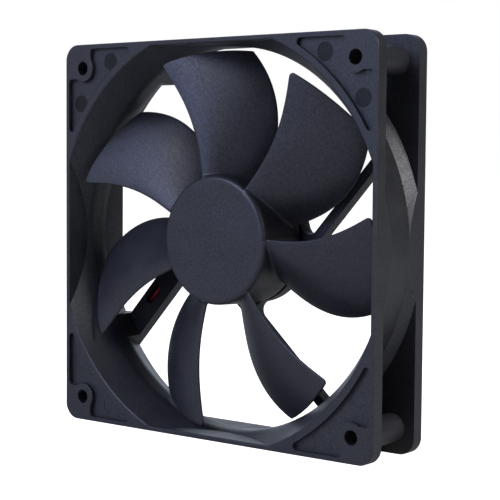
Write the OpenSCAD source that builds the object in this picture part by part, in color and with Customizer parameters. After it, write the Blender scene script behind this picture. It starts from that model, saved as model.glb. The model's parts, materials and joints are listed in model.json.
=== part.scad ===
/* [Frame] */
// Side of the square frame
frame_side = 120; // [119:0.5:122]
// Depth of the frame along the airflow
frame_depth = 25; // [25:0.5:27]
// Distance between neighbouring screw holes
hole_pitch = 105; // [104.5:0.5:106]
// Diameter of the screw holes
hole_d = 4.3; // [4:0.1:4.8]
// Radius of the frame's outer corners
corner_r = 5; // [3:0.5:6]
// Thickness of the front and rear flanges
flange_t = 4.2; // [3.8:0.1:4.4]
// Width of the plain rim around the corner pockets
rim_w = 1.4; // [1.2:0.1:1.8]
// Depth of the corner pockets
pocket_depth = 1.4; // [0.8:0.1:2]

/* [Airway] */
// Radius of the narrowest part of the airway
throat_r = 57.9; // [57.6:0.1:58.2]
// Radius the airway opens to at both faces
mouth_r = 63.2; // [62.8:0.1:63.6]
// Length of the straight throat
throat_len = 5.6; // [4:0.1:8]

/* [Impeller] */
// Number of blades
blade_count = 7; // [5:1:9]
// Radius of the blade tips
tip_r = 56.9; // [55:0.1:57]
// Radius of the hub at its front face
hub_r = 19.45; // [19.3:0.05:19.6]
// Radius of the rounded front edge of the hub
hub_edge_r = 1.5; // [0.8:0.1:1.6]
// Thickness of a blade at the hub
blade_root_t = 2; // [1.6:0.1:2.4]
// Thickness of a blade at its tip
blade_tip_t = 1.3; // [1:0.1:1.6]
// Resting angle of the first blade's leading edge
blade_start = 157.5; // [0:0.5:360]

/* [Motor] */
// Diameter of the shaft
shaft_d = 3; // [2.8:0.1:3.1]
// Radial running clearance between shaft and sleeve bearing
shaft_gap = 0.03; // [0.01:0.01:0.08]
// Radial gap between the magnet and the stator poles
air_gap = 0.5; // [0.4:0.05:0.6]

/* [Struts] */
// Direction of the first strut, anticlockwise from the right
strut_dir = 47.7; // [46:0.1:49]
// Distance of a strut's outer edge from the fan axis
strut_reach = 19.1; // [18.6:0.1:19.2]
// Width of a plain strut
strut_w = 3; // [2.5:0.1:3.5]
// Distance of the near wall of the lead channel from the fan axis
channel_near = 11.8; // [11.4:0.1:12]
// Distance of the far wall of the lead channel from the fan axis
channel_far = 19.5; // [19.4:0.1:19.6]

/* [Leads] */
// Diameter of one insulated lead wire
wire_d = 1.3; // [1.1:0.1:1.4]

/* [Hidden] */
$fn = 96;
eps = 0.01;

// The parts are drawn looking at the intake: x to the right, y up and z towards the
// viewer. facing_front() then stands the fan up, with its intake towards -Y.
half = frame_side / 2;
face_z = frame_depth / 2;
gap_z = face_z - flange_t;
rim_half = half - rim_w;
hole_at = hole_pitch / 2;

// Soft bend between the throat and each flare
bend_r = 6;
bend_steps = 4;

// Barrel between the flanges
barrel_r = half;
barrel_foot_r = 61.9;
barrel_straight = 4.6;

// Corner pockets, screw pads and ejector marks on both faces
boss_r = 4.3;
pad_r = 4.3;
pad_neck = 0.9;
pad_foot_r = 1.2;
pocket_arc_r = 65.3;
pocket_end_r = 1.2;
mark_r = 2.7;
mark_depth = 0.1;
mark_long = 54.4;
mark_short = 41.4;

// Motor base, which the struts carry
base_r = 20;
base_floor = 1.5;
base_rim_t = 1.2;
base_front_z = -7.8;
base_z = -face_z + base_floor;
strut_fillet_r = 2.8;
strut_overlap = 0.4;
channel_wall = 1.1;
channel_floor = 0.9;
channel_start = 5;
channel_end = 65;
lid_t = 1;
lid_end = 57;
window_at = 42.5;
window_side = 16.75;
window_len = 7.5;
window_w = 3.1;
slot_starts = [21, 29, 50];
slot_len = 6.5;
lead_dir = strut_dir + 180;
upper_root_y = 47.9;
lower_root_y = 27;
label_r = 18;
label_t = 0.15;
label_recess = 0.25;
label_gap = 0.2;
collar_r = 6;
collar_h = 1.4;

// Blades
blade_root_r = 18.9;
blade_camber = 1.35;
blade_edge_t = 0.7;
blade_rows = 12;
blade_cols = 8;

// Hub, yoke and magnet
hub_front_z = 10.1;
hub_back_z = -6.6;
hub_back_r = 20;
hub_wall_t = 1.55;
yoke_r = 18.4;
yoke_t = 0.8;
yoke_front_z = hub_front_z - hub_wall_t;
yoke_back_z = -5.8;
yoke_hole_r = 2.6;
magnet_r = yoke_r - yoke_t;
stator_r = 14.1;
magnet_in_r = stator_r + air_gap;
magnet_front_z = 4.4;
magnet_back_z = -4.9;

// Shaft and bearing
shaft_r = shaft_d / 2;
shaft_back_z = -10.5;
groove_z = -9.4;
groove_r = 1.1;
clip_t = 0.4;
clip_r = 2.7;
bush_r = 3.5;
bush_front_z = 4.4;
bush_back_z = -8.6;
holder_r = 4.5;
press_gap = 0.02;
end_play = 0.05;
washer_t = 0.3;
washer_gap = 0.2;
holder_front_z = 5.3;
holder_back_z = -face_z + label_recess;
boss_back_z = 5.8;
boss_flange_r = 3.6;
pad_t = 0.6;
cap_t = 1;
cap_front_z = shaft_back_z - end_play - pad_t;

// Stator
pole_count = 4;
core_front_z = 2.2;
core_back_z = -2.8;
core_hub_r = 6.5;
arm_w = 4.2;
shoe_t = 1.6;
shoe_in_r = stator_r - shoe_t;
slot_w = 3.2;
insulator_t = 0.8;
insulator_wall = 3;
arm_cover = 0.4;
bobbin_wall_t = 0.5;
bobbin_hub_r = core_hub_r + bobbin_wall_t;
bobbin_lip_r = shoe_in_r - bobbin_wall_t;
bobbin_lip_w = 11;
coil_in_r = bobbin_hub_r + 0.3;
coil_out_r = bobbin_lip_r - 0.1;
coil_w = 9.2;
coil_t = 1.9;
coil_corner_r = 1.8;
coil_gap = 0.05;
terminal_d = 0.5;
terminal_side = 2.6;
terminal_gap = 0.05;
terminal_tail = 0.4;

// Circuit board and what it carries
board_r = 17.5;
board_t = 1;
board_front_z = -7.5;
board_back_z = board_front_z - board_t;
board_hole_r = 6.9;
chip_at = 12;
driver_angle = 45;
driver_size = [4, 5, 1.4];
capacitor_angle = 80;
capacitor_size = [1.6, 3.2, 1.2];
resistor_angles = [130, 150];
resistor_size = [1.2, 2, 0.5];
sensor_angle = -20;
sensor_at = 15.9;
sensor_size = [1.6, 4, 1.5];

// Leads and their plug
wire_r = wire_d / 2;
wire_gap = 1.45;
ring_sides = 10;
path_steps = 4;
solder_at = 3.5;
dip_at = 7;
dip_left = 0.6;
channel_mid = (channel_near + channel_far) / 2;
channel_z = -10.8;
lead_shift = 0.35;
rise_from = 57;
rise_to = 61.9;
loop_r = 64.3;
loop_angle = 221;
loop_step = 4;
loop_start = 215;
loop_spread = 1.25;
loop_slack = 0.8;
loop_drop = 2;
loop_z = -3.6;
plug_bend = 2.4;
wire_inset = 2;
plug_back = [-40, -59.7, -3.8];
plug_size = [12, 5.8, 7.6];
plug_mid = plug_back + plug_size / 2;
contact_pitch = 2.54;
contact_size = [7, 2.2, 1.8];
contact_wall = 0.4;
contact_inset = 3.2;
cavity_size = [2.4, 2];
key_size = [5, 1, 1];
key_depth = 0.8;
key_inset = 3;
key_side = 2;

module facing_front() {
    rotate([90, 0, 0]) children();
}

// A turned shape: pairs of radius and height, all round the fan axis
module turned(points) {
    rotate_extrude() polygon(points);
}

module ring_plan(outer_r, inner_r) {
    difference() {
        circle(outer_r);
        circle(inner_r);
    }
}

module tube(outer_r, inner_r, back_z, front_z) {
    translate([0, 0, back_z]) linear_extrude(front_z - back_z) ring_plan(outer_r, inner_r);
}

module disc(r, back_z, front_z) {
    translate([0, 0, back_z]) cylinder(r = r, h = front_z - back_z);
}

// Repeats a shape drawn in the upper right corner in all four corners
module at_corners() {
    for (flip_x = [0, 1], flip_y = [0, 1])
        mirror([flip_x, 0, 0]) mirror([0, flip_y, 0]) children();
}

module round_about(count) {
    for (i = [0 : count - 1]) rotate(i * 360 / count) children();
}

// Half of the plane: everything above a height
module above(height) {
    translate([-frame_side, height]) square(2 * frame_side);
}

// A rectangle with rounded corners, centred on the origin
module rounded_rectangle(width, height, r) {
    square([width - 2 * r, height], center = true);
    square([width, height - 2 * r], center = true);
    for (x = [-1, 1], y = [-1, 1])
        translate([x * (width / 2 - r), y * (height / 2 - r)]) circle(r);
}

// ---- frame ----

function mix(from, to, u) = from * (1 - u) + to * u;

// One flared half of the airway: it bends softly out of the throat, and is clipped square
// so that a thin rim stays at mid-side
module flare() {
    flare_angle = atan((mouth_r - throat_r) / (face_z - throat_len / 2));
    bend_z = throat_len / 2 - bend_r * tan(flare_angle / 2);
    bend = [for (i = [0 : bend_steps])
        let (a = mix(180, 180 - flare_angle, i / bend_steps))
        [throat_r + bend_r + bend_r * cos(a), bend_z + bend_r * sin(a)]];
    intersection() {
        turned(concat([[0, bend_z]], bend,
            [[mouth_r, face_z], [mouth_r, face_z + 1], [0, face_z + 1]]));
        translate([0, 0, face_z]) cube([2 * rim_half, 2 * rim_half, 2 * face_z], center = true);
    }
}

// The rear flare stays filled beside the two left struts' roots, up to a level line
module root_fill() {
    translate([0, 0, -frame_depth]) linear_extrude(frame_depth) {
        intersection() {
            rotate(strut_dir + 90) above(-strut_reach);
            above(upper_root_y);
        }
        intersection() {
            rotate(lead_dir + 180) above(channel_near);
            rotate(180) above(lower_root_y);
        }
    }
}

module airway() {
    cylinder(r = throat_r, h = frame_depth + 2, center = true);
    flare();
    difference() {
        mirror([0, 0, 1]) flare();
        root_fill();
    }
}

module barrel() {
    intersection() {
        turned([[0, -gap_z - 1], [barrel_foot_r, -gap_z - 1], [barrel_foot_r, -gap_z],
            [barrel_r, -barrel_straight], [barrel_r, barrel_straight],
            [barrel_foot_r, gap_z], [barrel_foot_r, gap_z + 1], [0, gap_z + 1]]);
        cube([frame_side, frame_side, frame_depth], center = true);
    }
}

// Field between an arc about the fan axis and the plain rim, with round ends
module pocket_field() {
    end_y = rim_half - pocket_end_r;
    end_x = sqrt(pow(pocket_arc_r + pocket_end_r, 2) - pow(end_y, 2));
    difference() {
        intersection() {
            square(rim_half);
            polygon([[0, 0], [2 * end_y, 2 * end_x], [frame_side, frame_side],
                [2 * end_x, 2 * end_y]]);
        }
        circle(pocket_arc_r);
    }
    for (flip = [0, 1]) mirror([flip, -flip, 0]) translate([end_x, end_y]) {
        circle(pocket_end_r);
        square(pocket_end_r);
    }
}

// The field without the pad: a collar round the screw hole, and necks from it to the rim
module corner_pocket() {
    neck_x = hole_at - pad_r + pad_neck;
    difference() {
        pocket_field();
        translate([hole_at, hole_at]) circle(pad_r);
        for (flip = [0, 1]) mirror([flip, -flip, 0]) {
            translate([neck_x, hole_at]) square(half);
            translate([neck_x - pad_foot_r, rim_half - pad_foot_r]) difference() {
                square(pad_foot_r + eps);
                circle(pad_foot_r);
            }
        }
    }
}

// Pockets and ejector marks of the front face
module face_recesses() {
    at_corners() {
        translate([0, 0, face_z - pocket_depth]) linear_extrude(pocket_depth + 1) corner_pocket();
        for (at = [[mark_short, mark_long], [mark_long, mark_short]])
            translate([at[0], at[1], 0])
                disc(mark_r, face_z - pocket_depth - mark_depth, face_z);
    }
}

module flange_shell() {
    difference() {
        union() {
            for (back = [gap_z, -face_z]) translate([0, 0, back])
                linear_extrude(flange_t) rounded_rectangle(frame_side, frame_side, corner_r);
            barrel();
            at_corners() translate([hole_at, hole_at, 0])
                cylinder(r = boss_r, h = 2 * gap_z + 2, center = true);
        }
        airway();
        face_recesses();
        difference() {
            mirror([0, 0, 1]) face_recesses();
            lead_strip();
        }
        at_corners() translate([hole_at, hole_at, 0])
            cylinder(d = hole_d, h = frame_depth + 2, center = true);
    }
}

// Strip of the rear flange under the lead channel, which keeps its floor out of the pocket
module lead_strip() {
    rotate(lead_dir) translate([throat_r, -channel_far, -face_z - 1])
        cube([channel_end + channel_wall - throat_r, channel_far - channel_near, flange_t]);
}

// Plan of a strut between two distances from the fan axis, with its fillet to the base
module strut_plan(near, far) {
    fillet_y = strut_fillet_r - near;
    fillet_x = sqrt(pow(base_r + strut_fillet_r, 2) - pow(fillet_y, 2));
    translate([0, -far]) square([mouth_r, far - near]);
    difference() {
        polygon([[0, -near], [fillet_x, -near], [fillet_x, fillet_y], [0, 0]]);
        translate([fillet_x, fillet_y]) circle(strut_fillet_r);
    }
}

module struts() {
    translate([0, 0, -face_z]) linear_extrude(flange_t) intersection() {
        union() {
            for (turn = [0, 90, -90]) rotate(strut_dir + turn)
                strut_plan(strut_reach - strut_w, strut_reach);
            rotate(lead_dir) strut_plan(channel_near, channel_far);
        }
        circle(mouth_r + strut_overlap);
    }
}

// Way for the leads, from inside the base, through the barrel, into the open side gap
module lead_channel() {
    inside_w = channel_far - channel_near - 2 * channel_wall;
    rotate(lead_dir) translate([0, channel_wall - channel_far, channel_floor - face_z]) {
        translate([channel_start, 0, 0])
            cube([channel_end - channel_start, inside_w, flange_t - channel_floor - lid_t]);
        translate([lid_end, 0, 0])
            cube([channel_end - lid_end, inside_w, flange_t - channel_floor + eps]);
        for (start = slot_starts) translate([start, 0, -face_z])
            cube([slot_len, inside_w, face_z + eps]);
    }
    rotate(lead_dir) translate([window_at, -window_side, -gap_z - lid_t - eps])
        linear_extrude(flange_t) {
            square([window_len - window_w, window_w], center = true);
            for (side = [-1, 1]) translate([side * (window_len - window_w) / 2, 0])
                circle(d = window_w);
        }
}

module frame() color("#2b2c31") facing_front() {
    difference() {
        union() {
            flange_shell();
            struts();
            disc(base_r, -face_z, base_front_z);
        }
        disc(base_r - base_rim_t, base_z, face_z);
        disc(holder_r + press_gap, -face_z - 1, face_z);
        disc(label_r + label_gap, -face_z - 1, -face_z + label_recess);
        lead_channel();
    }
    tube(collar_r, holder_r + press_gap, base_z - eps, base_z + collar_h);
}

// ---- rotor ----

// Blade shape, with t from the hub (0) to the tip (1): where its edges run round the
// axis, in degrees, and along it
function lead_angle(t) = -13 * t + 32 * t * t - 12.9 * t * t * t;
function trail_angle(t) = -41.4 + 2.2 * t + 16.4 * t * t + 2.2 * t * t * t;
function lead_z(t) = 8.8 - 1.2 * t + 1.2 * t * t + 0.65 * t * t * t;
function trail_z(t) = -4.4 - 2.1 * t + 1.95 * t * t + 1.5 * t * t * t;

// Middle surface, with s from the leading edge (0) to the trailing edge (1)
function blade_mid(t, s) =
    let (
        r = blade_root_r + t * (tip_r - blade_root_r),
        a = lead_angle(t) * (1 - s) + trail_angle(t) * s,
        z = lead_z(t) * (1 - s) + trail_z(t) * s + blade_camber * 4 * s * (1 - s)
    )
    [r * cos(a), r * sin(a), z];

// Square to the middle surface, towards the intake
function blade_normal(t, s) =
    let (
        step = 0.01,
        along = blade_mid(t + step, s) - blade_mid(t - step, s),
        across = blade_mid(t, s + step) - blade_mid(t, s - step),
        n = cross(along, across)
    )
    -n / norm(n);

function blade_half_t(t, s) =
    let (full = blade_root_t + t * (blade_tip_t - blade_root_t))
    (blade_edge_t + (full - blade_edge_t) * (1 - pow(2 * s - 1, 4))) / 2;

function blade_skin(side) = [
    for (i = [0 : blade_rows], j = [0 : blade_cols])
        let (t = i / blade_rows, s = j / blade_cols)
        blade_mid(t, s) + side * blade_half_t(t, s) * blade_normal(t, s)
];

function blade_faces() =
    let (
        wide = blade_cols + 1,
        back = (blade_rows + 1) * wide,
        last = blade_rows * wide
    )
    concat(
        [for (i = [0 : blade_rows - 1], j = [0 : blade_cols - 1])
            let (a = i * wide + j) each [[a, a + wide + 1, a + 1], [a, a + wide, a + wide + 1]]],
        [for (i = [0 : blade_rows - 1], j = [0 : blade_cols - 1])
            let (a = back + i * wide + j) each [[a, a + 1, a + wide + 1], [a, a + wide + 1, a + wide]]],
        [for (j = [0 : blade_cols - 1])
            each [[j, j + 1, back + j + 1], [j, back + j + 1, back + j]]],
        [for (j = [last : last + blade_cols - 1])
            each [[j, back + j + 1, j + 1], [j, back + j, back + j + 1]]],
        [for (i = [0 : blade_rows - 1])
            let (a = i * wide) each [[a, back + a + wide, a + wide], [a, back + a, back + a + wide]]],
        [for (i = [0 : blade_rows - 1])
            let (a = i * wide + blade_cols)
            each [[a, a + wide, back + a + wide], [a, back + a + wide, back + a]]]
    );

module blade() {
    polyhedron(concat(blade_skin(1), blade_skin(-1)), blade_faces());
}

// Cup of the hub in half section, with its rounded front edge
module hub_section() {
    difference() {
        union() {
            polygon([[0, hub_front_z], [hub_r - hub_edge_r, hub_front_z],
                [hub_r - hub_edge_r, hub_front_z - hub_edge_r], [hub_r, hub_front_z - hub_edge_r],
                [hub_back_r, hub_back_z], [0, hub_back_z]]);
            intersection() {
                translate([hub_r - hub_edge_r, hub_front_z - hub_edge_r]) circle(hub_edge_r);
                square([hub_r, hub_front_z]);
            }
        }
        translate([0, hub_back_z - 1]) square([yoke_r, yoke_front_z - hub_back_z + 1]);
    }
}

module impeller() color("#2e3036") facing_front() {
    rotate_extrude() hub_section();
    rotate(blade_start) round_about(blade_count) blade();
}

module rotor_yoke() color("silver") facing_front() {
    difference() {
        disc(yoke_r, yoke_back_z, yoke_front_z);
        disc(yoke_r - yoke_t, yoke_back_z - 1, yoke_front_z - yoke_t);
        disc(yoke_hole_r, 0, face_z);
    }
}

module ring_magnet() color("#3a3836") facing_front() {
    tube(magnet_r, magnet_in_r, magnet_back_z, magnet_front_z);
}

module shaft_boss() color("#c9b26a") facing_front() {
    tube(boss_flange_r, shaft_r, boss_back_z, yoke_front_z - yoke_t);
    tube(yoke_hole_r, shaft_r, yoke_front_z - yoke_t - eps, yoke_front_z);
}

module shaft() color("#d8d8d8") facing_front() {
    difference() {
        disc(shaft_r, shaft_back_z, yoke_front_z);
        tube(clip_r, groove_r, groove_z, groove_z + clip_t);
    }
}

// Split washer that snaps into the groove of the shaft
module retaining_clip() color("gray") facing_front() {
    difference() {
        tube(clip_r, groove_r, groove_z, groove_z + clip_t);
        translate([0, -groove_r, groove_z - 1]) cube([clip_r + 1, 2 * groove_r, 3]);
    }
}

// ---- bearing ----

module bearing_holder() color("#b8963e") facing_front() {
    tube(holder_r, bush_r, holder_back_z, holder_front_z);
}

module sleeve_bearing() color("#a8794a") facing_front() {
    tube(bush_r, shaft_r + shaft_gap, bush_back_z, bush_front_z);
}

module oil_seal_washer() color("ivory") facing_front() {
    tube(bush_r - press_gap, shaft_r + washer_gap, bush_front_z, bush_front_z + washer_t);
}

module thrust_pad() color("white") facing_front() {
    disc(bush_r - press_gap, cap_front_z, cap_front_z + pad_t);
}

module bearing_end_cap() color("#404246") facing_front() {
    disc(bush_r, cap_front_z - cap_t, cap_front_z);
}

// ---- stator ----

module pole_arms(width, reach) {
    round_about(pole_count) translate([0, -width / 2]) square([reach, width]);
}

// Keeps a plan clear of the bearing holder that it is pressed on
module around_holder() {
    difference() {
        children();
        circle(holder_r + press_gap);
    }
}

module stator_core() color("#8d8f94") facing_front() {
    translate([0, 0, core_back_z]) linear_extrude(core_front_z - core_back_z) around_holder() {
        circle(core_hub_r);
        pole_arms(arm_w, stator_r - shoe_t / 2);
        difference() {
            circle(stator_r);
            circle(shoe_in_r);
            rotate(180 / pole_count) pole_arms(slot_w, half);
        }
    }
}

// One of the two plastic bobbin halves, drawn lying on z = 0 with its walls up
module bobbin_half() {
    linear_extrude(insulator_t) around_holder() {
        circle(core_hub_r);
        pole_arms(arm_w + 2 * arm_cover, shoe_in_r);
    }
    linear_extrude(insulator_wall) {
        ring_plan(bobbin_hub_r, core_hub_r - bobbin_wall_t / 2);
        intersection() {
            ring_plan(shoe_in_r, bobbin_lip_r);
            pole_arms(bobbin_lip_w, half);
        }
    }
}

module upper_insulator() color("ivory") facing_front() {
    translate([0, 0, core_front_z]) bobbin_half();
}

module lower_insulator() color("ivory") facing_front() {
    translate([0, 0, core_back_z]) mirror([0, 0, 1]) bobbin_half();
}

// A coil of fine wire round each pole arm
module coil_windings() color("#b5651d") facing_front() {
    stack_h = core_front_z - core_back_z + 2 * insulator_t;
    intersection() {
        round_about(pole_count) translate([0, 0, (core_front_z + core_back_z) / 2])
            rotate([90, 0, 90]) linear_extrude(coil_out_r) difference() {
                rounded_rectangle(coil_w, stack_h + 2 * coil_t, coil_corner_r);
                square([arm_w + 2 * (arm_cover + coil_gap), stack_h + 2 * coil_gap], center = true);
            }
        tube(coil_out_r, coil_in_r, -face_z, face_z);
    }
}

module at_terminals() {
    round_about(pole_count) translate([bobbin_lip_r + terminal_d / 2, terminal_side]) children();
}

// Posts that carry the coil ends down to the circuit board
module coil_terminals() color("gold") facing_front() {
    translate([0, 0, board_back_z - terminal_tail])
        at_terminals() cylinder(d = terminal_d, h = core_back_z - insulator_wall - board_back_z
            + terminal_tail);
}

module circuit_board() color("#1f6b3a") facing_front() {
    translate([0, 0, board_back_z]) linear_extrude(board_t) difference() {
        circle(board_r);
        circle(board_hole_r);
        at_terminals() circle(d = terminal_d + 2 * terminal_gap);
    }
}

// A chip that hangs on the back of the board at an angle and a radius
module on_board_back(angle, size) {
    rotate(angle) translate([chip_at - size[0] / 2, -size[1] / 2, board_back_z - size[2]])
        cube(size);
}

module driver_chip() color("#1b1b1d") facing_front() {
    on_board_back(driver_angle, driver_size);
}

// Stands on the front of the board, just behind the edge of the magnet
module hall_sensor() color("#202022") facing_front() {
    rotate(sensor_angle)
        translate([sensor_at - sensor_size[0] / 2, -sensor_size[1] / 2, board_front_z])
        cube(sensor_size);
}

module chip_capacitor() color("#b79a6b") facing_front() {
    on_board_back(capacitor_angle, capacitor_size);
}

module chip_resistors() color("#2a2a2a") facing_front() {
    for (angle = resistor_angles) on_board_back(angle, resistor_size);
}

// ---- leads ----

// Point on a smooth curve through the middle two of four points
function curve_point(p, u) = (
    2 * p[1] + (p[2] - p[0]) * u + (2 * p[0] - 5 * p[1] + 4 * p[2] - p[3]) * u * u
    + (3 * p[1] - p[0] - 3 * p[2] + p[3]) * u * u * u) / 2;

function smooth_path(p, steps) =
    let (ends = concat([2 * p[0] - p[1]], p, [2 * p[len(p) - 1] - p[len(p) - 2]]))
    concat(
        [for (i = [0 : len(p) - 2], k = [0 : steps - 1])
            curve_point([for (m = [0 : 3]) ends[i + m]], k / steps)],
        [p[len(p) - 1]]
    );

// A point given in the strut's own direction, turned into the fan's directions
function along_channel(x, y, z) = [
    x * cos(lead_dir) - y * sin(lead_dir),
    x * sin(lead_dir) + y * cos(lead_dir),
    z
];

function round_axis(r, angle, z) = [r * cos(angle), r * sin(angle), z];

// Way of one lead, with lane -1, 0 or 1: from the board along the channel, out behind the
// barrel, round it, and into the plug
function lead_way(lane) =
    let (
        lane_y = lane * wire_gap - channel_mid - lead_shift,
        side_z = loop_z - lane * wire_gap,
        plug_z = -lane * contact_pitch
    )
    [
        along_channel(solder_at, lane_y, board_back_z - wire_r - press_gap),
        along_channel(dip_at, lane_y, channel_z + dip_left),
        along_channel(2 * dip_at, lane_y, channel_z),
        along_channel(mix(2 * dip_at, rise_from, 0.5), lane_y, channel_z),
        along_channel(rise_from, lane_y, channel_z),
        along_channel(rise_to, lane_y, -gap_z - wire_r),
        round_axis(loop_r + loop_slack, loop_start + lane * loop_spread, side_z - loop_drop),
        round_axis(loop_r, loop_angle, side_z),
        round_axis(loop_r, loop_angle + loop_step, mix(side_z, plug_z, 0.2)),
        [plug_back[0] - 2 * plug_bend, plug_mid[1] + 2 * plug_bend, mix(side_z, plug_z, 0.7)],
        [plug_back[0] - plug_bend, plug_mid[1] + plug_bend / 3, plug_z],
        [plug_back[0] + wire_inset, plug_mid[1], plug_z]
    ];

// A round cord along a path, built as rings of points square to it
module cord(path, r) {
    last = len(path) - 1;
    ring_points = [
        for (i = [0 : last])
            let (
                ahead = path[min(i + 1, last)] - path[max(i - 1, 0)],
                dir = ahead / norm(ahead),
                side = cross(dir, [0.3, -0.3, 0.9]),
                u = side / norm(side),
                v = cross(dir, u)
            )
            for (k = [0 : ring_sides - 1])
                let (a = k * 360 / ring_sides)
                path[i] + r * cos(a) * u + r * sin(a) * v
    ];
    walls = [
        for (i = [0 : last - 1], k = [0 : ring_sides - 1])
            let (
                a = i * ring_sides + k,
                b = i * ring_sides + (k + 1) % ring_sides
            )
            each [[a, a + ring_sides, b + ring_sides], [a, b + ring_sides, b]]
    ];
    polyhedron(ring_points, concat(walls, [
        [for (k = [0 : ring_sides - 1]) k],
        [for (k = [ring_sides - 1 : -1 : 0]) last * ring_sides + k]
    ]));
}

module lead(lane) {
    cord(smooth_path(lead_way(lane), path_steps), wire_r);
}

module lead_wire_red() color("#8f1420") facing_front() lead(-1);

module lead_wire_black() color("#141416") facing_front() lead(0);

module lead_wire_yellow() color("#c9a21c") facing_front() lead(1);

// ---- plug ----

module at_contacts() {
    for (lane = [-1 : 1]) translate([0, 0, lane * contact_pitch]) children();
}

// A block centred on the plug's long axis, from one distance behind its back end
module in_plug(inset, size) {
    translate([plug_back[0] + inset, plug_mid[1] - size[1] / 2, -size[2] / 2]) cube(size);
}

module connector_housing() color("#1d1d20") facing_front() {
    difference() {
        translate(plug_back) cube(plug_size);
        at_contacts() in_plug(-1, [plug_size[0] + 2, cavity_size[0], cavity_size[1]]);
        for (side = [-1, 1])
            translate([plug_back[0] + key_inset, plug_mid[1] + plug_size[1] / 2 - key_depth,
                plug_mid[2] + side * key_side - key_size[2] / 2])
                cube(key_size);
    }
}

// Crimped sockets, open at the front for the pins
module connector_contacts() color("#c8c4b4") facing_front() {
    bore_size = [contact_size[0], contact_size[1] - 2 * contact_wall,
        contact_size[2] - 2 * contact_wall];
    at_contacts() difference() {
        in_plug(contact_inset, contact_size);
        in_plug(contact_inset + 1, bore_size);
    }
}

module rear_label() color("#d9dadc") facing_front() {
    disc(label_r, -face_z + label_recess - label_t, -face_z + label_recess);
}

frame();
impeller();
rotor_yoke();
ring_magnet();
shaft_boss();
shaft();
retaining_clip();
bearing_holder();
sleeve_bearing();
oil_seal_washer();
thrust_pad();
bearing_end_cap();
stator_core();
upper_insulator();
lower_insulator();
coil_windings();
coil_terminals();
circuit_board();
driver_chip();
hall_sensor();
chip_capacitor();
chip_resistors();
lead_wire_red();
lead_wire_black();
lead_wire_yellow();
connector_housing();
connector_contacts();
rear_label();
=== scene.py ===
"""A 120 mm case fan: the looks of its moulded frame, seven-bladed rotor, motor and leads.

Shapes are worked out in millimetres, looking at the intake: x to the right, y up and z
towards the viewer. to_world() then stands them in the frame of the CAD model.
"""

import json
import math

import bmesh
import bpy
from mathutils import Matrix, Vector

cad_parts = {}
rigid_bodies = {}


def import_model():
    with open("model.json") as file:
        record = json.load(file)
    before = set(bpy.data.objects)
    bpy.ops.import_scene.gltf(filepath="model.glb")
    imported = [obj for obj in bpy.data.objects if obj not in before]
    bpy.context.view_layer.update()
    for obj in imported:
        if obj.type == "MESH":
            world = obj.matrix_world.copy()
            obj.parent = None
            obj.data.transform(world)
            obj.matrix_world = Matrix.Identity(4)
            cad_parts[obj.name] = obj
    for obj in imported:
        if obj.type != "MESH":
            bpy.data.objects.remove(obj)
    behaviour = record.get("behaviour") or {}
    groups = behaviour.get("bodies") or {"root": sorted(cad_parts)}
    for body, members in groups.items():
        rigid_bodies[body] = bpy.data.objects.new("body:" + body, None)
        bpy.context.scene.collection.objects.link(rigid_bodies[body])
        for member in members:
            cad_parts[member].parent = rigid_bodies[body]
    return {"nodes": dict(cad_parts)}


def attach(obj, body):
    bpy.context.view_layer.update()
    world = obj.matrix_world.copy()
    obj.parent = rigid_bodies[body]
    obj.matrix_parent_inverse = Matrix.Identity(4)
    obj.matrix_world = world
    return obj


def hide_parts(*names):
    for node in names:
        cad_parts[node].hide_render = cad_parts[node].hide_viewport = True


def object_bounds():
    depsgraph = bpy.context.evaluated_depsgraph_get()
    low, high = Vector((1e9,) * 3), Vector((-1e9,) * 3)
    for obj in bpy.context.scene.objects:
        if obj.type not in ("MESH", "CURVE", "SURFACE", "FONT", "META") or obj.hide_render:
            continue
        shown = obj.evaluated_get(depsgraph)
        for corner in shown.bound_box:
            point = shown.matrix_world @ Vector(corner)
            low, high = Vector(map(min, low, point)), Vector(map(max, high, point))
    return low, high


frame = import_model()
cad_low, cad_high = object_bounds()

MM = 0.001
BLADES = 7


# ---- meshes ----

WELD = 0.001  # points of a CAD mesh this close are one point
JOIN_WELD = 0.002  # and so are points this close where the blades join the hub
CRUMB = 0.04  # edges of a CAD mesh shorter than this are closed up
CRUMBS = {"coil_terminals": 0.005}  # thin pins, whose own sides are shorter than that
FLAT_TURN = math.radians(0.1)  # triangles that turn less than this are one face
EDGE_TURN = math.radians(45)  # edges that turn more than this are rounded
CORNER_TURN = math.radians(20)  # where an edge turns more than this, a rounding needs room
LEAST_ROUNDING = 0.03
AREA_SHARE = 0.4  # how much of a face a rounding may take, by its area
LENGTH_SHARE = 0.45  # and how much of the length of the edge beside it
WIDTH_STEP = 1.5  # how much wider a rounding may be than the one it runs into
WIDTH_PASSES = 6
CORD_SWELL = 0.03  # makes up for what the smoothing takes off a lead
CORD_FLAT_TURN = math.radians(30)  # triangles of a lead that turn less than this are joined
CORD_FLAT_SHAPE = 3.1  # radians, so wide that a long thin pair is joined too


def to_world(x, y, z):
    """A point in millimetres, seen from the intake, as a point of the CAD model in metres."""
    return Vector((x, -z, y)) * MM


def polar(radius, degrees, z):
    """The same for a point given by its distance from the axis and its angle."""
    angle = math.radians(degrees)
    return to_world(radius * math.cos(angle), radius * math.sin(angle), z)


def finish_mesh(name, bm, slot, body, sharp=20):
    """Makes a piece: smooth shading, with edges that turn above `sharp` degrees kept crisp."""
    bmesh.ops.recalc_face_normals(bm, faces=bm.faces)
    for face in bm.faces:
        face.smooth = True
    for edge in bm.edges:
        edge.smooth = edge.calc_face_angle(0) < math.radians(sharp)
    mesh = bpy.data.meshes.new(name)
    bm.to_mesh(mesh)
    bm.free()
    piece = bpy.data.objects.new(name, mesh)
    bpy.context.scene.collection.objects.link(piece)
    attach(piece, body)
    return piece


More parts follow.
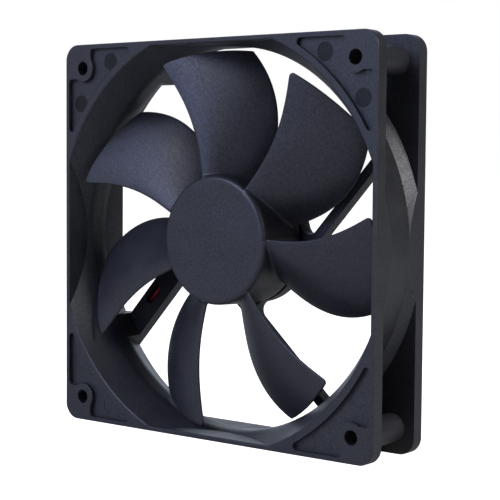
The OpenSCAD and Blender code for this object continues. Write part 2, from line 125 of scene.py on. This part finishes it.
def add_rings(bm, rings):
    """Joins rings of points into a tube, and closes its ends with strips from side to side."""
    made = [[bm.verts.new(point) for point in ring] for ring in rings]
    for low, high in zip(made, made[1:]):
        for i in range(len(low)):
            j = (i + 1) % len(low)
            bm.faces.new((low[i], low[j], high[j], high[i]))
    for ring in (made[0], made[-1]):
        half = len(ring) // 2
        bm.faces.new((ring[0], ring[1], ring[-1]))
        bm.faces.new((ring[half - 1], ring[half], ring[half + 1]))
        for i in range(1, half - 1):
            bm.faces.new((ring[i], ring[i + 1], ring[-i - 1], ring[-i]))


def body_of(node):
    """The name of the body that carries a CAD node."""
    return frame["nodes"][node].parent.name.split(":")[1]


def cad_copy(node, flatten=True):
    """The CAD node's mesh with its seams welded and its flat triangles joined."""
    bm = bmesh.new()
    bm.from_mesh(frame["nodes"][node].data)
    bmesh.ops.remove_doubles(bm, verts=bm.verts, dist=WELD * MM)
    bmesh.ops.dissolve_degenerate(bm, dist=CRUMBS.get(node, CRUMB) * MM, edges=bm.edges)
    if flatten:
        bmesh.ops.dissolve_limit(bm, angle_limit=FLAT_TURN, verts=bm.verts, edges=bm.edges)
    bmesh.ops.recalc_face_normals(bm, faces=bm.faces)
    return bm


def corners(edge):
    """The turn at each face corner where an edge ends, with the next edge there."""
    for loop in edge.link_loops:
        ahead = loop.link_loop_next
        yield math.pi - loop.calc_angle(), loop.link_loop_prev.edge
        yield math.pi - ahead.calc_angle(), ahead.edge


def edge_room(edge):
    """The widest rounding an outward edge can take without running into another."""
    length = edge.calc_length()
    room = min(AREA_SHARE * face.calc_area() / length for face in edge.link_faces)
    for turn, beside in corners(edge):
        if turn > CORNER_TURN:
            own = LENGTH_SHARE * length / math.tan(turn / 2)
            room = min(room, own, LENGTH_SHARE * beside.calc_length() * math.sin(turn))
    return room


def outward_widths(bm, radius):
    """How wide to round each outward edge, in metres, with no sudden change along a run."""
    widths = {}
    for edge in bm.edges:
        if len(edge.link_faces) == 2 and edge.calc_face_angle_signed(0) > EDGE_TURN:
            widths[edge] = min(radius * MM, edge_room(edge))
    for _ in range(WIDTH_PASSES):
        for edge in widths:
            for beside in (e for vert in edge.verts for e in vert.link_edges if e in widths):
                widths[edge] = min(widths[edge], WIDTH_STEP * widths[beside])
    return {edge: width for edge, width in widths.items() if width > LEAST_ROUNDING * MM}


def drop_open_runs(widths):
    """Leaves sharp every run of edges that would stop short somewhere."""

    def stops_at(vert):
        return sum(edge in widths for edge in vert.link_edges) < 2

    loose = True
    while loose:
        loose = [edge for edge in widths if any(stops_at(vert) for vert in edge.verts)]
        for edge in loose:
            del widths[edge]


def rounded_copy(node, slot, radius, segments=2):
    """Stands for a CAD node: the same shape, its outward edges rounded where there is room."""
    bm = cad_copy(node)
    weight = bm.edges.layers.float.new("bevel_weight_edge")
    widths = outward_widths(bm, radius)
    drop_open_runs(widths)
    for edge, width in widths.items():
        edge[weight] = width / (radius * MM)
    piece = finish_mesh(node + "_shape", bm, slot, body_of(node))
    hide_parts(node)
    bevel = piece.modifiers.new("rounded edges", "BEVEL")
    bevel.width = radius * MM
    bevel.segments = segments
    bevel.limit_method = "WEIGHT"
    bevel.use_clamp_overlap = False
    even = piece.modifiers.new("even shading", "WEIGHTED_NORMAL")
    even.keep_sharp = True
    dress(piece, MATERIALS[slot]())


def round_cord(node, slot):
    """Stands for a lead: its ten-sided cord made round."""
    bm = cad_copy(node, flatten=False)
    bmesh.ops.join_triangles(
        bm,
        faces=bm.faces,
        angle_face_threshold=CORD_FLAT_TURN,
        angle_shape_threshold=CORD_FLAT_SHAPE,
    )
    for vert in bm.verts:
        vert.co += vert.normal * CORD_SWELL * MM
    piece = finish_mesh(node + "_cord", bm, slot, body_of(node), 60)
    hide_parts(node)
    smooth = piece.modifiers.new("round", "SUBSURF")
    smooth.levels = smooth.render_levels = 2
    dress(piece, MATERIALS[slot]())


# ---- materials ----


DISC_BLUR = 0.15  # half the width of a disc's soft edge


class Nodes:
    """Short hand for one material's node tree."""

    def __init__(self, name):
        self.material = bpy.data.materials.new(name)
        self.material.use_nodes = True
        self.tree = self.material.node_tree
        self.shader = self.tree.nodes["Principled BSDF"]
        self.place = self.add("ShaderNodeTexCoord").outputs["Object"]

    def add(self, kind, **settings):
        node = self.tree.nodes.new(kind)
        for key, value in settings.items():
            setattr(node, key, value)
        return node

    def link(self, source, target):
        self.tree.links.new(source, target)

    def noise(self, scale, detail=4, rough=0.6):
        """Noise whose features are about 1/scale metres across."""
        node = self.add("ShaderNodeTexNoise")
        self.link(self.place, node.inputs["Vector"])
        node.inputs["Scale"].default_value = scale
        node.inputs["Detail"].default_value = detail
        node.inputs["Roughness"].default_value = rough
        return node.outputs["Fac"]

    def spread(self, source, low, high, start=0.3, end=0.7):
        """Maps source to low..high from start..end, which is by default where noise mostly is."""
        node = self.add("ShaderNodeMapRange")
        self.link(source, node.inputs["Value"])
        node.inputs["From Min"].default_value = start
        node.inputs["From Max"].default_value = end
        node.inputs["To Min"].default_value = low
        node.inputs["To Max"].default_value = high
        return node.outputs["Result"]

    def mix(self, factor, low, high):
        """Mixes two colours, each an (r, g, b) or a socket."""
        node = self.add("ShaderNodeMix", data_type="RGBA")
        self.link(factor, node.inputs["Factor"])
        for socket, colour in ((node.inputs["A"], low), (node.inputs["B"], high)):
            if isinstance(colour, tuple):
                socket.default_value = (*colour, 1)
            else:
                self.link(colour, socket)
        return node.outputs["Result"]

    def bands(self, axis, pitch, rings=False):
        """Stripes across an axis, or rings round it, one to every `pitch` millimetres."""
        kind = {"wave_type": "RINGS", "rings_direction": axis}
        if not rings:
            kind = {"wave_type": "BANDS", "bands_direction": axis}
        node = self.add("ShaderNodeTexWave", **kind)
        self.link(self.place, node.inputs["Vector"])
        # The node turns through 20 radians for each unit of its scale.
        node.inputs["Scale"].default_value = 2 * math.pi / 20 / (pitch * MM)
        return node.outputs["Fac"]

    def discs(self, centres, radius):
        """1 within `radius` millimetres of a point or of its mirror images, and 0 elsewhere."""
        fold = self.add("ShaderNodeVectorMath", operation="ABSOLUTE")
        self.link(self.place, fold.inputs[0])
        nearest = None
        for centre in centres:
            gap = self.add("ShaderNodeVectorMath", operation="DISTANCE")
            self.link(fold.outputs["Vector"], gap.inputs[0])
            gap.inputs[1].default_value = Vector(centre) * MM
            found = gap.outputs["Value"]
            if nearest:
                closer = self.add("ShaderNodeMath", operation="MINIMUM")
                self.link(nearest, closer.inputs[0])
                self.link(found, closer.inputs[1])
                found = closer.outputs["Value"]
            nearest = found
        return self.spread(nearest, 1, 0, (radius - DISC_BLUR) * MM, (radius + DISC_BLUR) * MM)

    def above(self, axis):
        """0 on the low side of the axis, 1 on the high side, blended over two millimetres."""
        split = self.add("ShaderNodeSeparateXYZ")
        self.link(self.place, split.inputs["Vector"])
        return self.spread(split.outputs[axis], 0, 1, -MM, MM)

    def bump(self, height, distance):
        """Relief `distance` millimetres high."""
        node = self.add("ShaderNodeBump")
        node.inputs["Strength"].default_value = 1.0
        node.inputs["Distance"].default_value = distance * MM
        self.link(height, node.inputs["Height"])
        return node.outputs["Normal"]

    def feed(self, socket):
        """What is linked to an input of the shader."""
        return self.shader.inputs[socket].links[0].from_socket

    def set(self, socket, value):
        """Gives an input of the shader a number, an (r, g, b) or a socket."""
        if isinstance(value, (int, float)):
            self.shader.inputs[socket].default_value = value
        elif isinstance(value, tuple):
            self.shader.inputs[socket].default_value = (*value, 1)
        else:
            self.link(value, self.shader.inputs[socket])


def dimmed(colour, share):
    return tuple(share * c for c in colour)


def moulded(name, dark, light, rough, grain):
    """Matte moulded plastic: a fine eroded grain, with faint clouds and freckles in its tone."""
    n = Nodes(name)
    clouds = n.noise(110, 4, 0.65)
    fine = n.noise(1600, 3, 0.6)
    cloudy = n.mix(n.spread(clouds, 0, 1), dark, light)
    n.set("Base Color", n.mix(n.spread(fine, 0, 0.35), cloudy, dimmed(dark, 0.5)))
    n.set("Roughness", n.spread(clouds, rough - 0.05, rough + 0.05))
    n.set("Specular IOR Level", n.spread(fine, 0.3, 0.7))
    n.set("Normal", n.bump(fine, grain))
    return n


MARK_ACROSS = 54.4  # an ejector mark's place: the larger of its two distances from the axis
MARK_ALONG = 41.4  # and the smaller one
MARK_DEPTH = 11.0  # its distance from the middle of the fan towards the intake
MARK_R = 2.7
MARK_COLOUR = (0.004, 0.004, 0.005)
MARK_SHINE = (0.28, 0.28, 0.28)


def frame_plastic():
    """The frame's plastic, darker and duller at the ejector marks of its upper pockets."""
    n = moulded("frame_plastic", (0.0135, 0.0138, 0.0175), (0.0215, 0.022, 0.0275), 0.47, 0.045)
    places = [(MARK_ACROSS, MARK_DEPTH, MARK_ALONG), (MARK_ALONG, MARK_DEPTH, MARK_ACROSS)]
    marks = n.discs(places, MARK_R)
    upper = n.above("Z")
    for socket, marked in (("Base Color", MARK_COLOUR), ("Specular IOR Level", MARK_SHINE)):
        plain = n.feed(socket)
        n.set(socket, n.mix(upper, plain, n.mix(marks, plain, marked)))
    return n.material


def rotor_plastic():
    n = moulded("rotor_plastic", (0.014, 0.0143, 0.0185), (0.0225, 0.023, 0.0295), 0.43, 0.04)
    return n.material


def plain_plastic(name, colour, rough):
    return moulded(name, dimmed(colour, 0.8), colour, rough, 0.006).material


def metal(name, colour, rough, grain=0.004):
    """Bare or plated metal with a fine, even unevenness in its polish."""
    n = Nodes(name)
    fine = n.noise(1500, 3)
    n.set("Base Color", n.mix(fine, dimmed(colour, 0.85), colour))
    n.set("Metallic", 1.0)
    n.set("Roughness", n.spread(fine, rough - 0.06, rough + 0.06))
    n.set("Normal", n.bump(fine, grain))
    return n.material


def sintered_bronze():
    """Pressed powder: small dark pores in dull bronze."""
    n = Nodes("sintered_bronze")
    pores = n.spread(n.noise(4000, 2), 0, 1, 0.38, 0.5)
    n.set("Base Color", n.mix(pores, (0.12, 0.07, 0.03), (0.62, 0.4, 0.2)))
    n.set("Metallic", 1.0)
    n.set("Roughness", 0.5)
    n.set("Normal", n.bump(pores, 0.01))
    return n.material


def core_steel():
    """Half-millimetre sheets stacked along the axis."""
    n = Nodes("core_steel")
    sheets = n.bands("Y", 0.5)
    n.set("Base Color", n.mix(sheets, (0.1, 0.1, 0.1), (0.42, 0.42, 0.43)))
    n.set("Metallic", 1.0)
    n.set("Roughness", 0.42)
    n.set("Normal", n.bump(sheets, 0.04))
    return n.material


def enamelled_copper():
    """Turns of wire laid side by side outwards from the axis."""
    n = Nodes("enamelled_copper")
    turns = n.bands("Y", 0.22, rings=True)
    n.set("Base Color", n.mix(turns, (0.16, 0.04, 0.015), (0.72, 0.27, 0.11)))
    n.set("Metallic", 1.0)
    n.set("Roughness", 0.3)
    n.set("Normal", n.bump(turns, 0.08))
    return n.material


def board():
    """Green resist with faint tracks under it."""
    n = Nodes("board")
    tracks = n.spread(n.bands("Y", 1.6, rings=True), 0, 1, 0.45, 0.55)
    weave = n.noise(2500, 2)
    green = n.mix(tracks, (0.01, 0.09, 0.03), (0.02, 0.15, 0.05))
    n.set("Base Color", n.mix(weave, green, (0.012, 0.11, 0.04)))
    n.set("Roughness", 0.35)
    n.set("Normal", n.bump(tracks, 0.03))
    return n.material


def insulation(name, colour):
    """Soft vinyl with a slight bloom."""
    n = moulded(name, dimmed(colour, 0.7), colour, 0.4, 0.004)
    n.set("Specular IOR Level", 0.4)
    return n.material


def label_film():
    n = moulded("label_film", (0.6, 0.61, 0.62), (0.68, 0.69, 0.7), 0.38, 0.003)
    return n.material


MATERIALS = {
    "black_plastic": frame_plastic,
    "rotor_plastic": rotor_plastic,
    "plated_steel": lambda: metal("plated_steel", (0.62, 0.63, 0.65), 0.32),
    "ferrite": lambda: plain_plastic("ferrite", (0.03, 0.028, 0.027), 0.7),
    "brass": lambda: metal("brass", (0.78, 0.57, 0.27), 0.3),
    "sintered_bronze": sintered_bronze,
    "polished_steel": lambda: metal("polished_steel", (0.75, 0.75, 0.76), 0.14, 0.001),
    "core_steel": core_steel,
    "nylon": lambda: plain_plastic("nylon", (0.62, 0.6, 0.54), 0.45),
    "enamelled_copper": enamelled_copper,
    "board": board,
    "chip_black": lambda: plain_plastic("chip_black", (0.02, 0.02, 0.021), 0.6),
    "ceramic": lambda: plain_plastic("ceramic", (0.42, 0.3, 0.19), 0.5),
    "tinned_metal": lambda: metal("tinned_metal", (0.7, 0.69, 0.66), 0.25),
    "wire_red": lambda: insulation("wire_red", (0.42, 0.012, 0.03)),
    "wire_black": lambda: insulation("wire_black", (0.012, 0.012, 0.013)),
    "wire_yellow": lambda: insulation("wire_yellow", (0.6, 0.36, 0.02)),
    "plug_plastic": lambda: plain_plastic("plug_plastic", (0.018, 0.018, 0.019), 0.45),
    "label_film": label_film,
}


def dress(piece, material):
    """Gives a piece its only material."""
    piece.data.materials.clear()
    piece.data.materials.append(material)


# ---- frame ----

FRAME_EDGE_R = 0.35


def build_frame():
    rounded_copy("frame", "black_plastic", FRAME_EDGE_R, segments=3)


# ---- rotor ----

HUB_FRONT = 10.1  # height of the hub's face
HUB_BACK = -6.6  # height of its rim
HUB_FRONT_R = 19.45
HUB_BACK_R = 20.0
HUB_EDGE_R = 1.5  # rounding between face and side
HUB_IN_R = 18.4
HUB_WALL = 1.55  # thickness of the face
HUB_RIM_EDGE = 0.3
HUB_RIM_BULGE = 0.09  # how far the middle of that edge is from both surfaces
HUB_RIM_IN_EDGE = 0.2
HUB_EDGE_STEPS = 8
HUB_SIDE_STEPS = 11
HUB_SIDES = 48 * BLADES
ROOT_R = 18.9  # the blades start inside the hub's wall
TIP_R = 56.9
BLADE_START = 157.5  # degrees, where the first blade's leading edge meets the hub
ROOT_T = 2.0  # thickness of a blade at its middle, at the hub and at the tip
TIP_T = 1.3
EDGE_T = 0.7  # and at its two edges
CAMBER = 1.35
ROOT_FILLET = 0.9
FILLET_START = 0.12  # how far inside the hub's wall the fillet is at its widest
TIP_ROUND = 0.3
TIP_CORNER = 1.8
ROOT_STEP = 0.22  # distance between cross sections in the fillet, and further out
BODY_STEP = 1.3
CORNER_GAP = 0.3  # least distance between the last of those and the tip's corner
TIP_GAP = 0.04
LINE_AT = 1.2  # degrees from a blade's leading edge to its parting line
LINE_HALF_W = 0.2  # also degrees
LINE_DEPTH = 0.1
LINE_FRONT = 8.4  # height where the line ends


def lead_angle(t):
    """Degrees from the blade's start to its leading edge, t from 0 at the hub to 1 at the tip."""
    return -13 * t + 32 * t**2 - 12.9 * t**3


def trail_angle(t):
    """The same for its trailing edge."""
    return -41.4 + 2.2 * t + 16.4 * t**2 + 2.2 * t**3


def lead_z(t):
    """Height of the leading edge."""
    return 8.8 - 1.2 * t + 1.2 * t**2 + 0.65 * t**3


def trail_z(t):
    """Height of the trailing edge."""
    return -4.4 - 2.1 * t + 1.95 * t**2 + 1.5 * t**3


def blade_mid(t, s):
    """Middle of the blade, t from hub to tip and s from leading to trailing edge."""
    r = ROOT_R + t * (TIP_R - ROOT_R)
    a = math.radians(lead_angle(t) * (1 - s) + trail_angle(t) * s)
    z = lead_z(t) * (1 - s) + trail_z(t) * s + CAMBER * 4 * s * (1 - s)
    return Vector((r * math.cos(a), r * math.sin(a), z))


def blade_normal(t, s):
    """Direction out of the blade's front skin."""
    step = 0.005
    along = blade_mid(t + step, s) - blade_mid(t - step, s)
    across = blade_mid(t, s + step) - blade_mid(t, s - step)
    return -along.cross(across).normalized()


def hub_radius(z):
    """Radius of the hub's side wall at a height."""
    share = (HUB_FRONT - HUB_EDGE_R - z) / (HUB_FRONT - HUB_EDGE_R - HUB_BACK)
    return HUB_FRONT_R + (HUB_BACK_R - HUB_FRONT_R) * min(max(share, 0), 1)


def quarter(distance, radius):
    """Height of a quarter circle of that radius, from 0 at its start to 1 past its end."""
    if distance >= radius:
        return 1.0
    return math.sqrt(max(0.0, 1 - (1 - distance / radius) ** 2))


def blade_stations():
    """Radii of the blade's cross sections, close together at the fillet and the tip."""
    root = [ROOT_R + ROOT_STEP * i for i in range(9)]
    body = [root[-1] + BODY_STEP * i for i in range(1, 27)]
    corner = [TIP_R - TIP_CORNER * (1 - math.sin(math.radians(a))) for a in range(12, 96, 12)]
    tip = [TIP_R - TIP_ROUND * (1 - math.cos(math.radians(a))) for a in (60, 40, 20)]
    inner = [r for r in root + body if r < corner[0] - CORNER_GAP]
    outer = [r for r in corner if r < tip[0] - TIP_GAP]
    return inner + outer + tip


def chord_places(chord, count=34):
    """Places across a blade from 0 to 1, close together round its two edges."""
    edge = EDGE_T / 2
    rounded = [edge * (1 - math.cos(math.radians(a))) / chord for a in (0, 25, 50, 75)]
    inner = [rounded[-1] + (1 - 2 * rounded[-1]) * i / count for i in range(1, count)]
    return rounded + inner + [1 - d for d in reversed(rounded)]


def half_thickness(t, place, chord):
    """Half the blade's thickness, rounded off at both edges and at the tip."""
    full = ROOT_T + t * (TIP_T - ROOT_T)
    half = (EDGE_T + (full - EDGE_T) * (1 - (2 * place - 1) ** 4)) / 2
    from_edge = min(place, 1 - place) * chord
    from_tip = (1 - t) * (TIP_R - ROOT_R)
    return half * quarter(from_edge, EDGE_T / 2) * quarter(from_tip, TIP_ROUND)


def root_swell(middle):
    """What the fillet adds to half the thickness at a point near the hub."""
    rise = math.hypot(middle.x, middle.y) - hub_radius(middle.z) + FILLET_START
    return ROOT_FILLET * (1 - quarter(max(rise, 0), ROOT_FILLET))


def blade_ring(r):
    """One closed cross section: along the front skin and back along the rear skin."""
    t = (r - ROOT_R) / (TIP_R - ROOT_R)
    chord = (blade_mid(t, 1) - blade_mid(t, 0)).length
    pull = TIP_CORNER * (1 - quarter(TIP_R - r, TIP_CORNER)) / chord
    front, rear = [], []
    for place in chord_places(chord):
        s = pull + (1 - pull) * place
        middle = blade_mid(t, s)
        half = blade_normal(t, s) * (half_thickness(t, place, chord) + root_swell(middle))
        front.append(middle + half)
        rear.append(middle - half)
    return front + rear[-2:0:-1]


def blade_mesh(bm, start):
    turn = Matrix.Rotation(math.radians(start), 3, "Z")
    rings = [[to_world(*(turn @ p)) for p in blade_ring(r)] for r in blade_stations()]
    add_rings(bm, rings)


def hub_profile():
    """Half section of the hub cup as (radius, height), from its face round to its inside."""
    points = [(r, HUB_FRONT) for r in (4, 8, 12, 15, 17)]
    r, z = HUB_FRONT_R - HUB_EDGE_R, HUB_FRONT - HUB_EDGE_R
    for i in range(HUB_EDGE_STEPS + 1):
        a = math.radians(90 - 90 * i / HUB_EDGE_STEPS)
        points.append((r + HUB_EDGE_R * math.cos(a), z + HUB_EDGE_R * math.sin(a)))
    for i in range(1, HUB_SIDE_STEPS + 1):
        down = z + (HUB_BACK + HUB_RIM_EDGE - z) * i / HUB_SIDE_STEPS
        points.append((hub_radius(down), down))
    points.append((HUB_BACK_R - HUB_RIM_BULGE, HUB_BACK + HUB_RIM_BULGE))
    points.append((HUB_BACK_R - HUB_RIM_EDGE, HUB_BACK))
    points.append((HUB_IN_R + HUB_RIM_IN_EDGE, HUB_BACK))
    points.append((HUB_IN_R, HUB_BACK + HUB_RIM_IN_EDGE))
    inside = HUB_FRONT - HUB_WALL
    points += [(HUB_IN_R, height) for height in (-3, 1, 5, inside)]
    return points + [(r, inside) for r in (14, 9, 4)]


def hub_turns():
    """Angles round the hub with the depth cut there: a parting line comes before each blade."""
    turns = []
    for i in range(HUB_SIDES):
        if i % (HUB_SIDES // BLADES) == 1:
            line = 360 * (i - 1) / HUB_SIDES + LINE_AT
            turns += [(line - LINE_HALF_W, 0), (line, LINE_DEPTH), (line + LINE_HALF_W, 0)]
        else:
            turns.append((360 * i / HUB_SIDES, 0))
    return turns


def hub_mesh(bm):
    """The hub cup, turned round the axis, with its parting lines cut into the side."""
    rings = []
    for turn, depth in hub_turns():
        ring = []
        for r, z in hub_profile():
            on_side = r > HUB_FRONT_R - HUB_RIM_EDGE and z < LINE_FRONT
            cut = depth if on_side else 0
            ring.append(polar(r - cut, BLADE_START + turn, z))
        rings.append(ring)
    front = bm.verts.new(to_world(0, 0, HUB_FRONT))
    inside = bm.verts.new(to_world(0, 0, HUB_FRONT - HUB_WALL))
    made = [[bm.verts.new(p) for p in ring] for ring in rings]
    for low, high in zip(made, made[1:] + made[:1]):
        for j in range(len(low) - 1):
            bm.faces.new((low[j], low[j + 1], high[j + 1], high[j]))
        bm.faces.new((front, low[0], high[0]))
        bm.faces.new((inside, high[-1], low[-1]))


def temporary(name, build):
    """An object that stands in the scene only until the blades are joined to the hub."""
    bm = bmesh.new()
    build(bm)
    bmesh.ops.recalc_face_normals(bm, faces=bm.faces)
    mesh = bpy.data.meshes.new(name)
    bm.to_mesh(mesh)
    bm.free()
    piece = bpy.data.objects.new(name, mesh)
    bpy.context.scene.collection.objects.link(piece)
    return piece


def all_blades(bm):
    for i in range(BLADES):
        blade_mesh(bm, BLADE_START - 360 * i / BLADES)


def build_impeller():
    """Joins the blades to the hub, and stands the result in for the CAD impeller."""
    hub = temporary("hub", hub_mesh)
    blades = temporary("blades", all_blades)
    join = hub.modifiers.new("join", "BOOLEAN")
    join.operation = "UNION"
    join.solver = "EXACT"
    join.object = blades
    bpy.context.view_layer.update()
    joined = hub.evaluated_get(bpy.context.evaluated_depsgraph_get())
    bm = bmesh.new()
    bm.from_mesh(joined.to_mesh())
    for piece in (hub, blades):
        bpy.data.objects.remove(piece)
    bmesh.ops.remove_doubles(bm, verts=bm.verts, dist=JOIN_WELD * MM)
    piece = finish_mesh("impeller_moulding", bm, "rotor_plastic", "rotor", 28)
    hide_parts("impeller")
    dress(piece, rotor_plastic())


# ---- motor, leads and label ----


LEADS = {
    "lead_wire_red": "wire_red",
    "lead_wire_black": "wire_black",
    "lead_wire_yellow": "wire_yellow",
}
# Each node with what it is made of and the radius of its edges.
FITTED = {
    "rotor_yoke": ("plated_steel", 0.12),
    "ring_magnet": ("ferrite", 0.2),
    "shaft_boss": ("brass", 0.1),
    "shaft": ("polished_steel", 0.15),
    "retaining_clip": ("nylon", 0.05),
    "bearing_holder": ("brass", 0.15),
    "sleeve_bearing": ("sintered_bronze", 0.15),
    "oil_seal_washer": ("nylon", 0.05),
    "thrust_pad": ("nylon", 0.08),
    "bearing_end_cap": ("plug_plastic", 0.1),
    "stator_core": ("core_steel", 0.05),
    "upper_insulator": ("nylon", 0.1),
    "lower_insulator": ("nylon", 0.1),
    "coil_windings": ("enamelled_copper", 0.1),
    "coil_terminals": ("tinned_metal", 0.08),
    "circuit_board": ("board", 0.05),
    "driver_chip": ("chip_black", 0.12),
    "hall_sensor": ("chip_black", 0.12),
    "chip_capacitor": ("ceramic", 0.12),
    "chip_resistors": ("chip_black", 0.06),
    "connector_housing": ("plug_plastic", 0.1),
    "connector_contacts": ("tinned_metal", 0.08),
    "rear_label": ("label_film", 0.04),
}


def build_fittings():
    for node, (slot, radius) in FITTED.items():
        rounded_copy(node, slot, radius)
    for node, slot in LEADS.items():
        round_cord(node, slot)


# ---- studio ----

CAMERA_AT = (280.7, -342.0, 25.7)
CAMERA_AZIMUTH = 38.75
CAMERA_ELEVATION = 3.75
CAMERA_ROLL = 0.45
CAMERA_LENS = 104.97
BACKDROP_TOWARD = (-0.6, 0.78, -0.12)
BACKDROP_START = 0.6  # cosine of the angle from that direction where the screen starts to show
BACKDROP_FULL = 0.92  # and where it is at full brightness
BACKDROP_LEVEL = 1.45
BACKDROP_COLOUR = (0.76, 0.84, 1)
ROOM_LEVEL = 0.04
FLOOR_SIZE = 4  # metres each way
FLOOR_GLOW = 0.06


def build_camera():
    """The photograph's angle, distance and lens."""
    data = bpy.data.cameras.new("camera")
    data.sensor_width = 36
    data.lens = CAMERA_LENS
    data.clip_start = 0.01
    data.clip_end = 50
    camera = bpy.data.objects.new("camera", data)
    a, e = math.radians(CAMERA_AZIMUTH), math.radians(CAMERA_ELEVATION)
    back = Vector((math.sin(a) * math.cos(e), -math.cos(a) * math.cos(e), math.sin(e)))
    right = Vector((math.cos(a), math.sin(a), 0))
    turn = Matrix((right, back.cross(right), back)).transposed()
    roll = Matrix.Rotation(math.radians(CAMERA_ROLL), 3, "Z")
    camera.matrix_world = Matrix.Translation(Vector(CAMERA_AT) * MM) @ (turn @ roll).to_4x4()
    bpy.context.scene.collection.objects.link(camera)
    bpy.context.scene.camera = camera


def softbox(name, toward, distance, size, radiance, colour=(1, 1, 1)):
    """A square lamp in the given direction from the fan, facing it, `size` metres across."""
    data = bpy.data.lights.new(name, "AREA")
    data.shape = "SQUARE"
    data.size = size
    data.energy = radiance * math.pi * size**2
    data.color = colour
    lamp = bpy.data.objects.new(name, data)
    lamp.location = Vector(toward).normalized() * distance
    lamp.rotation_mode = "QUATERNION"
    lamp.rotation_quaternion = Vector(toward).to_track_quat("Z", "Y")
    bpy.context.scene.collection.objects.link(lamp)


def build_world():
    """Lights the fan by a bright screen behind it. The camera sees plain white instead."""
    world = bpy.data.worlds.new("studio")
    bpy.context.scene.world = world
    world.use_nodes = True
    tree = world.node_tree
    glow = tree.nodes["Background"]
    coords = tree.nodes.new("ShaderNodeTexCoord")
    facing = tree.nodes.new("ShaderNodeVectorMath")
    facing.operation = "DOT_PRODUCT"
    facing.inputs[1].default_value = Vector(BACKDROP_TOWARD).normalized()
    tree.links.new(coords.outputs["Generated"], facing.inputs[0])
    backdrop = tree.nodes.new("ShaderNodeMapRange")
    backdrop.interpolation_type = "SMOOTHSTEP"
    backdrop.inputs["From Min"].default_value = BACKDROP_START
    backdrop.inputs["From Max"].default_value = BACKDROP_FULL
    backdrop.inputs["To Min"].default_value = ROOM_LEVEL
    backdrop.inputs["To Max"].default_value = BACKDROP_LEVEL
    tree.links.new(facing.outputs["Value"], backdrop.inputs["Value"])
    path = tree.nodes.new("ShaderNodeLightPath")
    level = tree.nodes.new("ShaderNodeMix")
    level.inputs["B"].default_value = 1.0
    tree.links.new(backdrop.outputs["Result"], level.inputs["A"])
    tree.links.new(path.outputs["Is Camera Ray"], level.inputs["Factor"])
    tree.links.new(level.outputs["Result"], glow.inputs["Strength"])
    tint = tree.nodes.new("ShaderNodeMix")
    tint.data_type = "RGBA"
    tint.inputs["A"].default_value = (*BACKDROP_COLOUR, 1)
    tint.inputs["B"].default_value = (1, 1, 1, 1)
    tree.links.new(path.outputs["Is Camera Ray"], tint.inputs["Factor"])
    tree.links.new(tint.outputs["Result"], glow.inputs["Color"])


def build_floor():
    """Pale paper that the camera sees as bright, so that the fan's shadow on it is faint."""
    bm = bmesh.new()
    bmesh.ops.create_grid(bm, x_segments=1, y_segments=1, size=FLOOR_SIZE)
    mesh = bpy.data.meshes.new("floor")
    bm.to_mesh(mesh)
    bm.free()
    floor = bpy.data.objects.new("floor", mesh)
    floor.location.z = cad_low.z
    bpy.context.scene.collection.objects.link(floor)
    n = Nodes("floor_paper")
    seen = n.add("ShaderNodeLightPath").outputs["Is Camera Ray"]
    n.set("Base Color", n.mix(seen, (0.55, 0.55, 0.55), (0.8, 0.8, 0.8)))
    n.set("Roughness", 0.9)
    n.set("Emission Color", (1, 1, 1))
    n.set("Emission Strength", n.spread(seen, FLOOR_GLOW, 1, 0, 1))
    dress(floor, n.material)


def build_studio():
    build_world()
    build_floor()
    softbox("key", (-0.06, -0.74, 0.66), 0.75, 0.34, 3.9, (0.96, 0.96, 1))
    softbox("left", (-0.35, -0.74, 0.58), 0.9, 0.4, 5.2, (0.5, 0.58, 1))
    softbox("low", (-0.2, -0.9, 0.3), 0.9, 0.4, 3.5, (0.35, 0.45, 1))
    softbox("fill", (-0.72, -0.66, 0.08), 1.5, 1.4, 0.48)
    softbox("front", (0.1, -1, 0.05), 1.5, 1.4, 0.42)
    softbox("side", (0.87, 0.03, 0.48), 1.3, 0.4, 26)
    bpy.context.scene.view_settings.view_transform = "Standard"


build_frame()
build_impeller()
build_fittings()
build_camera()
build_studio()
